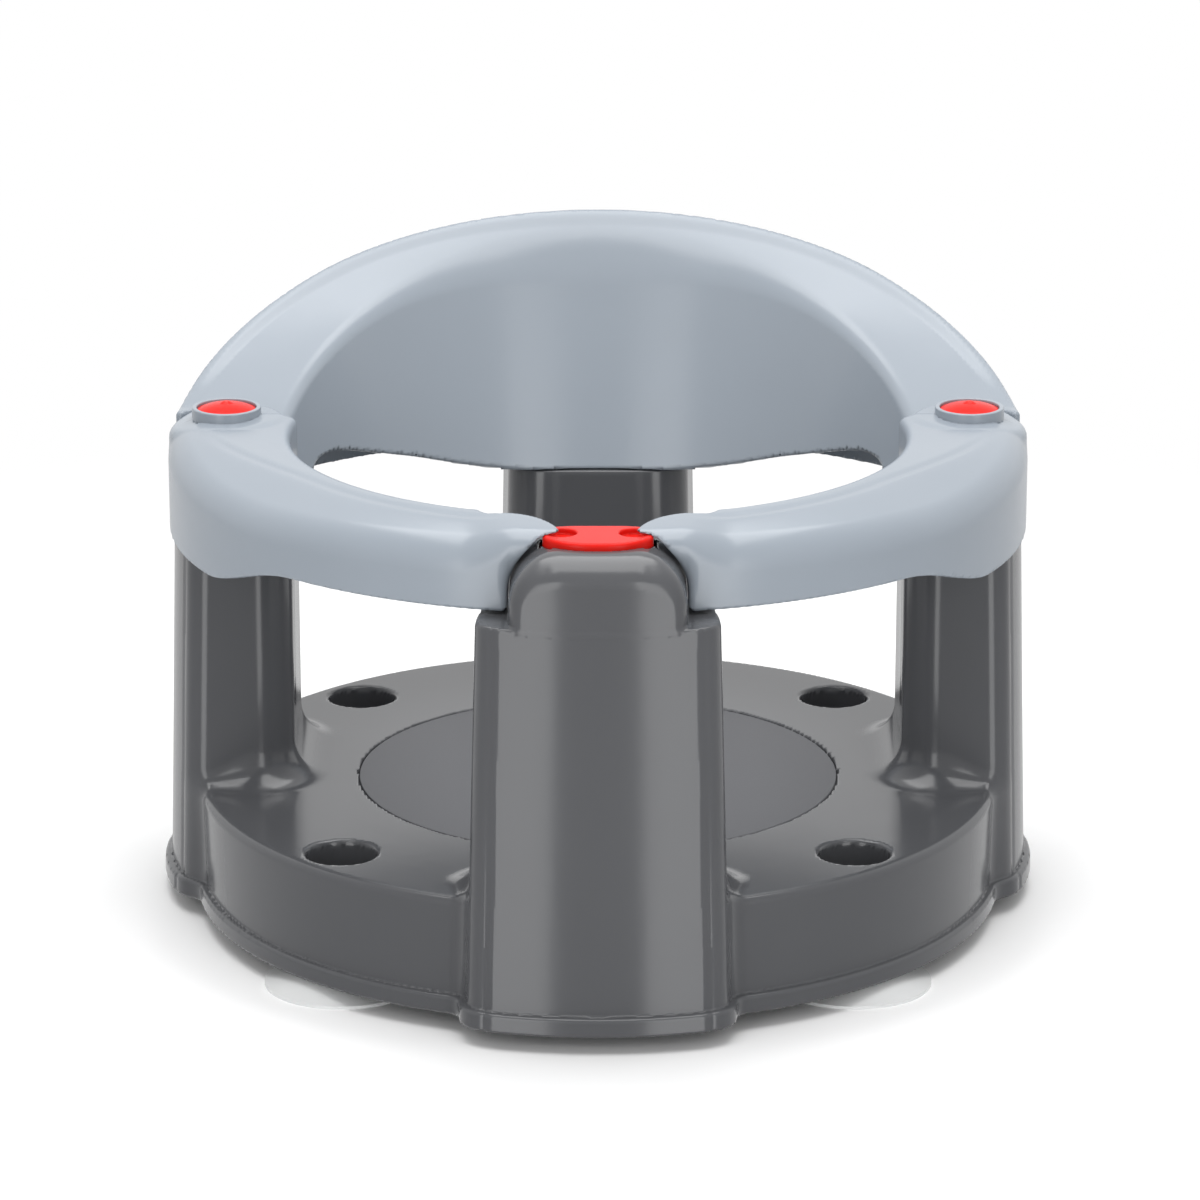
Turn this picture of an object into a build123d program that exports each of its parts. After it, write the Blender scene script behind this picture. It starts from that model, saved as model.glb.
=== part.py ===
from build123d import *
import math
import os

os.makedirs("parts", exist_ok=True)

# Baby bath seat in millimetres. X is to the sitter's left, Y to the back, Z up.
# The origin is on the bath floor, below the middle of the deck.

# Base: deck, skirt, flange and posts
wall = 2.6
deck_top = 54.0
deck_wall = 3.6
deck_radius = 162.0
deck_edge_round = 3.0
skirt_radius = 161.0
rim_bottom = 7.0
rim_height = 7.5
rim_step = 3.5
foot_reach = 180.0

# Posts: half widths are across the post, depths are towards the middle of the seat
post_depth = 53.0
post_lean = 4.5
post_bulge = 7.0
post_draw_in = 5.0
post_outer_round = 9.0
post_inner_round = 12.0
post_flare = 9.0
panel_step = 2.4
front_half_bottom = 51.5
front_half_top = 47.3
front_panel_bottom = 44.6
front_panel_top = 41.4
plain_half_bottom = 44.5
plain_half_top = 41.6
plain_panel_inset = 7.0
ledge_top = 166.0
side_post_top = 154.0
rear_post_top = 147.0
side_post_y = 22.0

# Boss on the front post, with the pocket for the latch button
boss_half = 33.5
boss_top = 194.0
boss_shoulder = 20.0
boss_back = 124.0
boss_front_round = 14.0
boss_root = 20.0
pocket_clear = 0.6

# Seat pad
pad_radius = 97.5
pad_thickness = 1.5
pad_recess = 1.8
fit_gap = 0.3

# Wells in the deck, and the suction cups below them
well_x = 100.5
well_y = 99.5
well_radius = 14.0
well_wall = 2.4
well_floor = 18.0
well_floor_wall = 2.4
well_drain_radius = 2.2
well_drain_circle = 9.6
cup_radius = 31.0
cup_lip = 1.2
cup_height = 13.0
cup_wall = 2.2
cup_neck = 6.0
cup_stem = 4.4
cup_head = 7.0
cup_head_height = 3.0
cup_hole_gap = 0.15
cup_foot_ring = 3.5
cup_belly_reach = 0.62
cup_belly_height = 0.42

# Upper ring: arms and backrest
ring_y = side_post_y
ring_outer = 174.0
ring_inner = 123.5
arm_wall = 2.6
arm_top = 198.5
arm_bottom = 167.3
apron_bottom = 155.2
apron_front_y = -58.0
arm_rise_y = -106.0
arm_outer_round = 11.0
arm_neck_y = -32.0
end_gap = 0.5
tip_x = 12.5
tip_front_y = -149.0
tip_back_y = -130.0
tip_round = 6.0
tip_root_x = 39.5
tip_neck_x = 22.5
tip_root_depth = 22.0
tip_top = 200.6
tip_lift = 0.4
cover_thickness = 2.0
cover_gap = 0.05
cover_lift = 0.6
cover_end_y = -110.0

# Knuckles and their pivots
pivot_x = 150.5
knuckle_radius = 23.5
recess_gap = 0.6
collar_radius = 14.0
collar_top = 202.5
collar_round = 0.8
spigot_radius = 8.0
spigot_top = 174.7
bush_wall = 1.75
running_gap = 0.1
bush_fit = 0.05
sleeve_wall = 2.5
sleeve_end_gap = 0.35
web_bottom = 163.0
web_thickness = 2.4
washer_radius = 11.6
washer_thickness = 1.6
pivot_screw_radius = 2.0
pivot_screw_length = 14.0
pivot_head_radius = 4.0
pivot_head_height = 2.4
screw_fit = 0.05
slot_half = 0.4
slot_depth = 0.7

# Release buttons
button_radius = 11.75
button_gap = 0.3
button_side_top = 201.4
button_dome = 2.6
button_nub = 1.1
button_nub_radius = 3.4
button_wall = 1.8
button_flange = 1.6
button_flange_height = 1.5
button_spring_radius = 7.2
spring_wire = 0.9
spring_seat_gap = 0.35
spring_end_gap = 0.05
button_spring_turns = 6
latch_spring_turns = 8

# Latch button
latch_y = -144.5
latch_half_x = 21.0
latch_half_y = 13.0
latch_corner = 8.0
latch_bite = 4.6
latch_bite_x = 19.0
latch_bite_y = 6.5
latch_proud = 2.6
latch_body = 6.0
latch_travel = 5.0
latch_gap = 0.35
latch_edge_round = 0.9
stem_radius = 3.0
stem_bottom = 151.0
guide_inner = 8.2
guide_wall = 1.6
guide_floor_z = 160.0
guide_floor = 1.6
guide_flange = 15.0
guide_flange_height = 2.0
guide_screw_circle = 12.4
guide_screw_radius = 1.1
guide_screw_length = 4.0
guide_head_radius = 2.1
guide_head_height = 1.2
guide_blind = 0.5
latch_retainer_radius = 6.5
latch_retainer_height = 2.0
latch_spring_radius = 6.2

# Backrest
back_half_x = 173.5
back_depth_low = 155.5
back_depth_high = 157.2
back_wall = 2.8
horn_inner_y = 30.0
horn_outer_y = 37.5
horn_top = 197.5
rim_slope = 0.40
rim_back_z = 249.5
back_seat_gap = 0.3
back_outer_drop = 22.5
back_arch = [(124.0, 147.3), (104.6, 157.8), (79.5, 166.2), (60.0, 170.0), (47.0, 168.0), (42.0, 160.0)]
bowl_sections = [
    (0.0, 120.0, 0.0, 123.5, 123.5),
    (0.0, 142.5, 0.06, 123.5, 124.2),
    (22.0, 186.0, 0.343, 127.0, 142.0),
    (22.0, 189.2, 0.343, 133.0, 146.0),
    (22.0, 192.0, 0.343, 150.0, 150.0),
    (22.0, 195.0, 0.343, 168.0, 153.0),
    (22.0, 260.0, 0.343, 169.0, 153.5),
]
back_boss_radius = 5.0
back_screw_radius = 1.9
back_screw_length = 15.0
back_head_radius = 3.6
back_head_height = 2.2
rear_screw_x = 22.0
rear_screw_y = 150.0
side_screw_x = 150.5
side_screw_y = 55.5

# Sizes that follow from the ones above
pivot_gap_radius = knuckle_radius + recess_gap
high = 300.0
overrun = 30.0
wide = 400.0
latch_top = boss_top + latch_proud
pocket_depth = latch_body - latch_proud + latch_travel + pocket_clear
latch_bottom = latch_top - latch_body
pocket_floor = boss_top - pocket_depth
latch_neck_top = pocket_floor - wall
bush_radius = spigot_radius + bush_fit + bush_wall
sleeve_inner = bush_radius + running_gap
sleeve_outer = sleeve_inner + sleeve_wall
washer_top = spigot_top + washer_thickness
button_bottom = arm_top - arm_wall - fit_gap - button_flange_height
button_roof = button_side_top - button_wall


def box(x0, x1, y0, y1, z0, z1):
    """A block between two corners."""
    middle = Pos((x0 + x1) / 2, (y0 + y1) / 2, (z0 + z1) / 2)
    return middle * Box(x1 - x0, y1 - y0, z1 - z0)


def rod(x, y, radius, z0, z1):
    """An upright cylinder."""
    return Pos(x, y, (z0 + z1) / 2) * Cylinder(radius, z1 - z0)


def tube(x, y, outer, inner, z0, z1):
    """An upright sleeve."""
    return rod(x, y, outer, z0, z1) - rod(x, y, inner, z0 - 1, z1 + 1)


def slab(plane, lines, reach=wide):
    """A block square to a plane, from an outline of lines and arcs drawn in it."""
    return extrude(make_face([plane * line for line in lines]), amount=reach, both=True)


def side_cut(points):
    """A block along X, from the corners of its outline in the YZ plane."""
    return slab(Plane.YZ, [Polyline(*points, close=True)])


def spring(x, y, radius, z0, z1, turns):
    """A coil spring of round wire, with its axis upright."""
    height = z1 - z0 - spring_wire
    path = Pos(x, y, z0 + spring_wire / 2) * Helix(height / turns, height, radius)
    profile = Plane(origin=path @ 0, z_dir=path % 0) * Circle(spring_wire / 2)
    return sweep(profile, path=path, is_frenet=True)


def post_section(half, outer, inner, inset, outer_round):
    """Plan of a post that faces -Y: a bowed outer face and rounded corners."""
    w = half - inset
    front = -(outer - inset)
    back = -(inner + inset)
    rear_half = w - post_draw_in
    bow = ThreePointArc((-w, front + post_bulge), (0, front), (w, front + post_bulge))
    right = Line((w, front + post_bulge), (rear_half, back))
    rear = Line((rear_half, back), (-rear_half, back))
    left = Line((-rear_half, back), (-w, front + post_bulge))
    face = make_face(bow + right + rear + left)
    corners = face.vertices().sort_by(Axis.Y)
    face = fillet(corners[:2], max(outer_round - inset, 1.0))
    corners = face.vertices().sort_by(Axis.Y)
    return fillet(corners[-2:], post_inner_round - inset)


def post_block(half_bottom, half_top, step, inset, top, outer_round):
    """A post from below the flange to its top, leaning in as it rises."""
    outer_bottom = foot_reach - rim_step - step
    inner = foot_reach - rim_step - post_depth
    lean = post_lean * (top - rim_bottom) / (ledge_top - rim_bottom)
    start = rim_bottom - (overrun if inset else 0.0)
    low = Pos(0, 0, start) * post_section(half_bottom, outer_bottom, inner, inset, outer_round)
    high_plan = post_section(half_top, outer_bottom - lean, inner, inset, outer_round)
    return loft([low, Pos(0, 0, top - inset) * high_plan], ruled=True)


def front_post(inset):
    """The wide front post: wings with a raised middle panel."""
    wings = post_block(front_half_bottom, front_half_top, panel_step, inset, ledge_top, post_outer_round)
    panel = post_block(front_panel_bottom, front_panel_top, 0.0, inset, ledge_top, post_outer_round / 2)
    return wings + panel


def plain_post(inset, top):
    """A side or rear post, drawn facing -Y."""
    wings = post_block(plain_half_bottom, plain_half_top, panel_step, inset, top, post_outer_round)
    panel_bottom = plain_half_bottom - plain_panel_inset
    panel_top = plain_half_top - plain_panel_inset
    panel = post_block(panel_bottom, panel_top, 0.0, inset, top, post_outer_round / 2)
    return wings + panel


def posts(inset):
    """The four posts in place."""
    side_place = Pos(0, side_post_y, 0)
    return [
        front_post(inset),
        side_place * Rot(0, 0, 90) * plain_post(inset, side_post_top),
        side_place * Rot(0, 0, -90) * plain_post(inset, side_post_top),
        Rot(0, 0, 180) * plain_post(inset, rear_post_top),
    ]


def boss_form(grow):
    """The domed boss on the front post, grown outwards by a gap or a negative wall."""
    half = boss_half + grow
    top = boss_top + grow
    shoulder = boss_shoulder + grow
    front = -(foot_reach - rim_step - post_lean) - grow
    back = -boss_back + grow
    bend = shoulder * (1 - math.sqrt(0.5))
    foot = ledge_top - boss_root
    arch_lines = [
        Line((half, foot), (half, top - shoulder)),
        ThreePointArc((half, top - shoulder), (half - bend, top - bend), (half - shoulder, top)),
        Line((half - shoulder, top), (-half + shoulder, top)),
        ThreePointArc((-half + shoulder, top), (-half + bend, top - bend), (-half, top - shoulder)),
        Line((-half, top - shoulder), (-half, foot)),
        Line((-half, foot), (half, foot)),
    ]
    bow = post_section(front_panel_top, -front - grow, -back + grow, -grow, post_outer_round / 2)
    arch = slab(Plane.XZ, arch_lines) & extrude(bow, amount=high)
    nose = boss_front_round + grow
    tangent_z = top - nose
    lip = nose * (1 - math.sqrt(0.5))
    corner_lines = [
        ThreePointArc((front, tangent_z), (front + lip, top - lip), (front + nose, top)),
        Line((front + nose, top), (front + nose, top + 5)),
        Line((front + nose, top + 5), (front - 5, top + 5)),
        Line((front - 5, top + 5), (front - 5, tangent_z)),
        Line((front - 5, tangent_z), (front, tangent_z)),
    ]
    return arch - slab(Plane.YZ, corner_lines)


def drum(inset, roof):
    """The round body under the deck, with its sloping skirt."""
    low = rim_bottom - (overrun if inset else 0.0)
    slope = (skirt_radius - deck_radius) / (deck_top - rim_bottom)
    low_radius = deck_radius + slope * (deck_top - low) - inset
    bottom = Pos(0, 0, low) * Circle(low_radius)
    top = Pos(0, 0, deck_top - roof) * Circle(deck_radius + slope * roof - inset)
    return loft([bottom, top], ruled=True)


def flange():
    """The foot flange, which follows the skirt and the feet of the posts."""
    top = rim_bottom + rim_height
    band = box(-wide, wide, -wide, wide, rim_bottom, top)
    ring = rod(0, 0, skirt_radius + rim_step, rim_bottom, top)
    for post in posts(-rim_step):
        ring = ring + (post & band)
    return ring


def latch_plan(grow):
    """The latch plate seen from above, with its two side bites when it isn't grown."""
    plate = RectangleRounded(2 * (latch_half_x + grow), 2 * (latch_half_y + grow), latch_corner + grow)
    if grow == 0:
        for side in (-1, 1):
            plate = plate - Pos(side * latch_bite_x, latch_bite_y) * Circle(latch_bite)
    return Pos(0, latch_y) * plate


def mirrored(shape):
    """The same piece on the other side of the seat."""
    return mirror(shape, about=Plane.YZ)


def well_places():
    """Middle of each deck well, with the name of its corner."""
    return {
        "front_left": (-well_x, -well_y),
        "front_right": (well_x, -well_y),
        "rear_left": (-well_x, well_y),
        "rear_right": (well_x, well_y),
    }


def base_outer():
    """The outside of the base before it is hollowed."""
    outer = drum(0.0, 0.0)
    outer = fillet(outer.edges().sort_by(Axis.Z)[-1], deck_edge_round)
    for post in posts(0.0):
        outer = outer + post
    flares = [e for e in outer.edges() if is_flare(e)]
    outer = fillet(flares, post_flare)
    return outer + boss_form(0.0) + flange()


def is_flare(edge):
    """True for the edges where a post rises out of the flat deck."""
    box_of_edge = edge.bounding_box()
    level = abs(box_of_edge.min.Z - deck_top) < 0.01 and abs(box_of_edge.max.Z - deck_top) < 0.01
    middle = edge @ 0.5
    return level and math.hypot(middle.X, middle.Y) < deck_radius - deck_edge_round - 1.0


def base_cavity():
    """The hollow of the base, open below."""
    cavity = drum(wall, deck_wall)
    for post in posts(wall):
        cavity = cavity + post
    cavity = cavity + boss_form(-wall)
    pocket_skin = Pos(0, 0, pocket_floor - wall) * latch_plan(latch_gap + wall)
    return cavity - extrude(pocket_skin, amount=boss_top)


def base_tub():
    tub = base_outer() - base_cavity()
    for x, y in well_places().values():
        tub = tub + rod(x, y, well_radius + well_wall, well_floor - well_floor_wall, deck_top - 1.0)
        tub = tub - rod(x, y, well_radius, well_floor, high)
        tub = tub - rod(x, y, cup_stem + cup_hole_gap, 0.0, high)
        for turn in range(4):
            angle = math.radians(90 * turn)
            drain_x = x + well_drain_circle * math.cos(angle)
            drain_y = y + well_drain_circle * math.sin(angle)
            tub = tub - rod(drain_x, drain_y, well_drain_radius, 0.0, high)
    tub = tub - rod(0, 0, pad_radius + fit_gap, deck_top - pad_recess, deck_top + 1)
    for side in (-1, 1):
        x = side * pivot_x
        tub = tub + rod(x, ring_y, spigot_radius, side_post_top - wall, spigot_top)
        tub = tub - rod(x, ring_y, pivot_screw_radius + screw_fit, washer_top - pivot_screw_length - 1, high)
        for x, y, roof in screw_places(side):
            tub = tub - rod(x, y, back_screw_radius + screw_fit, deck_top, roof + 1)
        hole_end = latch_neck_top + wall - guide_blind
        screw_x = side * guide_screw_circle
        tub = tub - rod(screw_x, latch_y, guide_screw_radius + screw_fit, latch_neck_top - wall, hole_end)
    tub = tub - extrude(Pos(0, 0, pocket_floor) * latch_plan(latch_gap), amount=boss_top)
    return tub - rod(0, latch_y, guide_inner, latch_neck_top - 1, pocket_floor + 1)


def seat_pad():
    floor = deck_top - pad_recess
    pad = rod(0, 0, pad_radius, floor, floor + pad_thickness)
    return fillet(pad.edges().sort_by(Axis.Z)[-1], pad_thickness / 3)


def suction_cup(x, y):
    """A soft cup with its neck pushed up through the floor of a well."""
    neck_top = well_floor - well_floor_wall
    head_top = well_floor + cup_head_height
    foot_inner = cup_radius - cup_foot_ring
    crown = cup_height - cup_wall
    belly_outside = (cup_belly_reach * cup_radius, cup_belly_height * cup_height)
    belly_inside = (cup_belly_reach * foot_inner, cup_belly_height * crown)
    lines = [
        Line((foot_inner, 0), (cup_radius, 0)),
        Line((cup_radius, 0), (cup_radius, cup_lip)),
        ThreePointArc((cup_radius, cup_lip), belly_outside, (cup_neck, cup_height)),
        Line((cup_neck, cup_height), (cup_neck, neck_top)),
        Line((cup_neck, neck_top), (cup_stem, neck_top)),
        Line((cup_stem, neck_top), (cup_stem, well_floor)),
        Line((cup_stem, well_floor), (cup_head, well_floor)),
        Line((cup_head, well_floor), (cup_head, head_top)),
        Line((cup_head, head_top), (0, head_top)),
        Line((0, head_top), (0, crown)),
        ThreePointArc((0, crown), belly_inside, (foot_inner, 0)),
    ]
    profile = make_face([Plane.XZ * line for line in lines])
    return Pos(x, y, 0) * revolve(profile, axis=Axis.Z)


def back_outer(inset):
    """The outside of the backrest, as a tall oval block."""
    half = back_half_x - inset
    low = Pos(0, ring_y, bowl_sections[0][1]) * Ellipse(half, back_depth_low - inset)
    top = Pos(0, ring_y, bowl_sections[-1][1]) * Ellipse(half, back_depth_high - inset)
    return loft([low, top], ruled=True)


def bowl(grow):
    """The hollow that the sitter's back leans into, through tilted ovals."""
    ovals = []
    for centre_y, z, slope, half_x, half_y in bowl_sections:
        tilt = math.atan(slope)
        drop = grow if slope else 0.0
        upward = (0, -math.sin(tilt), math.cos(tilt))
        plane = Plane(origin=(0, centre_y, z - drop), x_dir=(1, 0, 0), z_dir=upward)
        ovals.append(plane * Ellipse(half_x + grow, (half_y + grow) / math.cos(tilt)))
    return loft(ovals, ruled=True)


def above_rim(inset):
    """Everything above the sloping top edge of the backrest."""
    back_y = ring_y + back_depth_high
    corner_y = back_y - (rim_back_z - horn_top) / rim_slope
    far_z = rim_back_z + rim_slope * 40.0
    points = [
        (-50, horn_top - inset),
        (corner_y, horn_top - inset),
        (back_y + 40.0, far_z - inset),
        (back_y + 40.0, high),
        (-50, high),
    ]
    return side_cut(points)


def below_arch(shift):
    """Everything below the lower edge of the backrest, with its drop moved back by shift."""
    seat = side_post_top + back_seat_gap
    points = [(wide, 0), (wide, back_arch[0][1])]
    points += [(y + shift * (back_arch[0][0] - y) / back_arch[0][0], z) for y, z in back_arch]
    points += [(back_arch[-1][0] + shift, seat), (-50, seat), (-50, 0)]
    return side_cut(points)


def back_solid():
    """The backrest before it is hollowed from below."""
    solid = back_outer(0.0) - bowl(0.0) - above_rim(0.0)
    core = rod(0, 0, ring_inner + 2 * back_wall, 0, high)
    solid = solid - (below_arch(0.0) & core)
    solid = solid - (below_arch(back_outer_drop) - core)
    solid = solid - box(-wide, wide, -wide, horn_inner_y, 0, high)
    for side in (-1, 1):
        solid = solid - rod(side * pivot_x, ring_y, pivot_gap_radius, 0, high)
        x0, x1 = sorted((side * pivot_x, side * wide))
        solid = solid - box(x0, x1, -wide, horn_outer_y, 0, high)
    return solid


def backrest_shell():
    solid = back_solid()
    cavity = back_outer(back_wall) - bowl(back_wall) - above_rim(back_wall)
    cavity = cavity - box(-wide, wide, -wide, horn_inner_y + back_wall, 0, high)
    for side in (-1, 1):
        cavity = cavity - rod(side * pivot_x, ring_y, pivot_gap_radius + back_wall, 0, high)
        x0, x1 = sorted((side * pivot_x, side * wide))
        cavity = cavity - box(x0, x1, -wide, horn_outer_y + back_wall, 0, high)
        cavity = cavity - rod(side * rear_screw_x, rear_screw_y, back_boss_radius, 0, high)
        cavity = cavity - rod(side * side_screw_x, side_screw_y, back_boss_radius, 0, high)
    shell = solid - cavity
    for side in (-1, 1):
        for x, y, roof in screw_places(side):
            shell = shell - rod(x, y, back_screw_radius + screw_fit, deck_top, roof + back_screw_length)
    return shell


def screw_places(side):
    """The two backrest screws of one side, with the height of the post roof above each head."""
    return [
        (side * rear_screw_x, rear_screw_y, rear_post_top),
        (side * side_screw_x, side_screw_y, side_post_top),
    ]


def pan_screw(x, y, head_z, up, head_radius, head_height, shank_radius, length):
    """A round-headed screw whose head starts at head_z; up is 1 where the shank points up."""
    head_end = head_z - up * head_height
    shank_end = head_z + up * length
    head = rod(x, y, head_radius, min(head_z, head_end), max(head_z, head_end))
    shank = rod(x, y, shank_radius, min(head_z, shank_end), max(head_z, shank_end))
    slot_low, slot_high = head_end - slot_depth, head_end + slot_depth
    slot = box(x - head_radius, x + head_radius, y - slot_half, y + slot_half, slot_low, slot_high)
    return head + shank - slot


def backrest_screws():
    screws = []
    for side in (-1, 1):
        for x, y, roof in screw_places(side):
            seat = roof - wall
            screws.append(pan_screw(x, y, seat, 1, back_head_radius, back_head_height,
                                    back_screw_radius, back_screw_length))
    return Compound(children=screws)


def rounded_disc(inset):
    """The ring's outer form, rounded over at its top outer edge."""
    radius = ring_outer - inset
    top = arm_top - inset
    bend = arm_outer_round - inset
    lip = bend * (1 - math.sqrt(0.5))
    lines = [
        Line((0, 0), (radius, 0)),
        Line((radius, 0), (radius, top - bend)),
        ThreePointArc((radius, top - bend), (radius - lip, top - lip), (radius - bend, top)),
        Line((radius - bend, top), (0, top)),
        Line((0, top), (0, 0)),
    ]
    profile = make_face([Plane.XZ * line for line in lines])
    return Pos(0, ring_y, 0) * revolve(profile, axis=Axis.Z)


def arm_plan(inset):
    """The left arm seen from above: a band of the ring that ends in a round knuckle."""
    end_x = -(boss_half + end_gap + inset)
    neck_x = -(pivot_x - knuckle_radius + inset)
    meet_x = -math.sqrt((ring_inner + inset) ** 2 - arm_neck_y ** 2)
    limit = Polyline(
        (-wide, ring_y),
        (neck_x, ring_y),
        (meet_x, arm_neck_y),
        (end_x, arm_neck_y),
        (end_x, -wide),
        (-wide, -wide),
        close=True,
    )
    band = Pos(0, ring_y) * Circle(ring_outer - inset) - Circle(ring_inner + inset)
    return (band & make_face(limit)) + Pos(-pivot_x, ring_y) * Circle(knuckle_radius - inset)


def below_arm(inset):
    """Everything below the arm: level under the knuckle, then stepping up to the front."""
    points = [
        (wide, apron_bottom - inset),
        (apron_front_y, apron_bottom - inset),
        (arm_rise_y, arm_bottom - inset),
        (-wide, arm_bottom - inset),
        (-wide, 0),
        (wide, 0),
    ]
    return side_cut(points)


def arm_tip():
    """The finger at the front end of the left arm, which reaches over the latch plate."""
    plan = Polyline(
        (-tip_root_x, tip_front_y),
        (-tip_neck_x, tip_front_y),
        (-tip_x, tip_front_y + tip_round),
        (-tip_x, tip_back_y - tip_round),
        (-tip_neck_x, tip_back_y),
        (-tip_root_x, tip_back_y),
        close=True,
    )
    tip = extrude(Pos(0, 0, tip_top - tip_root_depth) * make_face(plan), amount=tip_root_depth)
    tip = fillet(tip.faces().sort_by(Axis.Z)[-1].edges(), tip_round / 3)
    plate_zone = box(-latch_half_x - 2 * latch_gap, wide, -wide, 0, 0, latch_top + tip_lift)
    return tip - boss_form(end_gap) - plate_zone


def arm():
    """The left arm, hollow below, with the sleeve that turns on its post."""
    outer = extrude(arm_plan(0.0), amount=high) & rounded_disc(0.0)
    outer = outer - below_arm(0.0)
    cavity = extrude(arm_plan(arm_wall), amount=high) & rounded_disc(arm_wall)
    shell = outer - cavity
    shell = shell + arm_tip()
    x = -pivot_x
    web_radius = knuckle_radius - arm_wall / 2
    shell = shell + tube(x, ring_y, web_radius, sleeve_inner, web_bottom, web_bottom + web_thickness)
    sleeve_bottom = side_post_top + sleeve_end_gap
    shell = shell + tube(x, ring_y, sleeve_outer, sleeve_inner, sleeve_bottom, spigot_top - sleeve_end_gap)
    collar = rod(x, ring_y, collar_radius, arm_top - arm_wall, collar_top)
    collar = fillet(collar.edges().sort_by(Axis.Z)[-1], collar_round)
    shell = shell + collar
    return shell - rod(x, ring_y, button_radius + button_gap, arm_top - arm_wall - 1, high)


def arm_cover():
    """The closing plate under the front stretch of the left arm."""
    plan = Pos(0, 0, arm_bottom + cover_lift) * arm_plan(arm_wall + cover_gap)
    plate = extrude(plan, amount=cover_thickness)
    return plate - box(-wide, wide, cover_end_y, wide, 0, high)


def pivot_bush():
    return tube(-pivot_x, ring_y, bush_radius, spigot_radius + bush_fit, side_post_top, spigot_top - bush_fit)


def pivot_washer():
    return tube(-pivot_x, ring_y, washer_radius, pivot_screw_radius + screw_fit, spigot_top, washer_top)


def pivot_screw():
    return pan_screw(-pivot_x, ring_y, washer_top, -1, pivot_head_radius, pivot_head_height,
                     pivot_screw_radius, pivot_screw_length)


def release_button():
    """The left round button: a domed cup with a stop flange and a small nub on top."""
    x = -pivot_x
    body = rod(x, ring_y, button_radius, button_bottom, button_side_top)
    ball = (button_radius ** 2 + button_dome ** 2) / (2 * button_dome)
    crown = Pos(x, ring_y, button_side_top + button_dome - ball) * Sphere(ball)
    crown = crown & rod(x, ring_y, button_radius, button_side_top, high)
    nub_base = button_side_top + button_dome - 0.4
    nub = Pos(x, ring_y, nub_base + button_nub / 2) * Cone(button_nub_radius, button_nub_radius / 3, button_nub)
    flange_ring = rod(x, ring_y, button_radius + button_flange, button_bottom, button_bottom + button_flange_height)
    button = body + crown + nub + flange_ring
    return button - rod(x, ring_y, button_radius - button_wall, 0, button_roof)


def button_spring():
    bottom = washer_top + spring_seat_gap
    top = button_roof - spring_end_gap
    return spring(-pivot_x, ring_y, button_spring_radius, bottom, top, button_spring_turns)


def latch_button():
    """The red plate on the front post, with its stem."""
    plate = extrude(Pos(0, 0, latch_bottom) * latch_plan(0.0), amount=latch_body)
    plate = fillet(plate.faces().sort_by(Axis.Z)[-1].edges(), latch_edge_round)
    return plate + rod(0, latch_y, stem_radius, stem_bottom, latch_top - latch_edge_round)


def latch_guide():
    """The cup below the pocket that holds the spring and guides the stem."""
    guide = rod(0, latch_y, guide_inner + guide_wall, guide_floor_z, latch_neck_top)
    guide = guide + rod(0, latch_y, guide_flange, latch_neck_top - guide_flange_height, latch_neck_top)
    guide = guide - rod(0, latch_y, guide_inner, guide_floor_z + guide_floor, high)
    guide = guide - rod(0, latch_y, stem_radius + fit_gap, 0, high)
    for side in (-1, 1):
        guide = guide - rod(side * guide_screw_circle, latch_y, guide_screw_radius + screw_fit, 0, high)
    return guide


def guide_screws():
    seat = latch_neck_top - guide_flange_height
    screws = []
    for side in (-1, 1):
        screws.append(pan_screw(side * guide_screw_circle, latch_y, seat, 1, guide_head_radius,
                                guide_head_height, guide_screw_radius, guide_screw_length))
    return Compound(children=screws)


def latch_retainer():
    """The push-on clip that stops the stem from lifting out."""
    top = guide_floor_z - fit_gap
    return tube(0, latch_y, latch_retainer_radius, stem_radius + bush_fit, top - latch_retainer_height, top)


def latch_spring():
    bottom = guide_floor_z + guide_floor + spring_end_gap
    top = latch_bottom - spring_end_gap
    return spring(0, latch_y, latch_spring_radius, bottom, top, latch_spring_turns)


def save(shape, node):
    export_step(shape, "parts/" + node + ".step")


def main():
    save(base_tub(), "base_tub")
    save(seat_pad(), "seat_pad")
    for corner, (cup_x, cup_y) in well_places().items():
        save(suction_cup(cup_x, cup_y), "suction_cup_" + corner)
    save(backrest_shell(), "backrest_shell")
    save(backrest_screws(), "backrest_screws")
    save(latch_button(), "latch_button")
    save(latch_guide(), "latch_guide")
    save(guide_screws(), "guide_screws")
    save(latch_retainer(), "latch_retainer")
    save(latch_spring(), "latch_spring")
    paired = {
        "arm": arm(),
        "arm_cover": arm_cover(),
        "pivot_bush": pivot_bush(),
        "pivot_washer": pivot_washer(),
        "pivot_screw": pivot_screw(),
        "release_button": release_button(),
        "button_spring": button_spring(),
    }
    for name, shape in paired.items():
        save(shape, name + "_left")
        save(mirrored(shape), name + "_right")


if __name__ == "__main__":
    main()
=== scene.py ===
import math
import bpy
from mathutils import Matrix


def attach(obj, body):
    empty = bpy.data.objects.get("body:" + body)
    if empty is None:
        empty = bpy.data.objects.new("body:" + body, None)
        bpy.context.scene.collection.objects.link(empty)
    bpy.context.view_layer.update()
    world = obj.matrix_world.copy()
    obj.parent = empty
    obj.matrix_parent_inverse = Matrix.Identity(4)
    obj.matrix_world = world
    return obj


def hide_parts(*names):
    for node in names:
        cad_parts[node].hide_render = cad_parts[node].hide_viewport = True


bl_info = {
    "name": "Baby Bath Seat",
    "version": (1, 0, 0),
    "blender": (4, 5, 0),
    "location": "View3D > Sidebar > Bath Seat",
    "description": "Dresses the frame of a baby bath seat with its moulded shells, buttons, cups and studio",
    "category": "Object",
}

import bpy
import numpy as np

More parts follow.
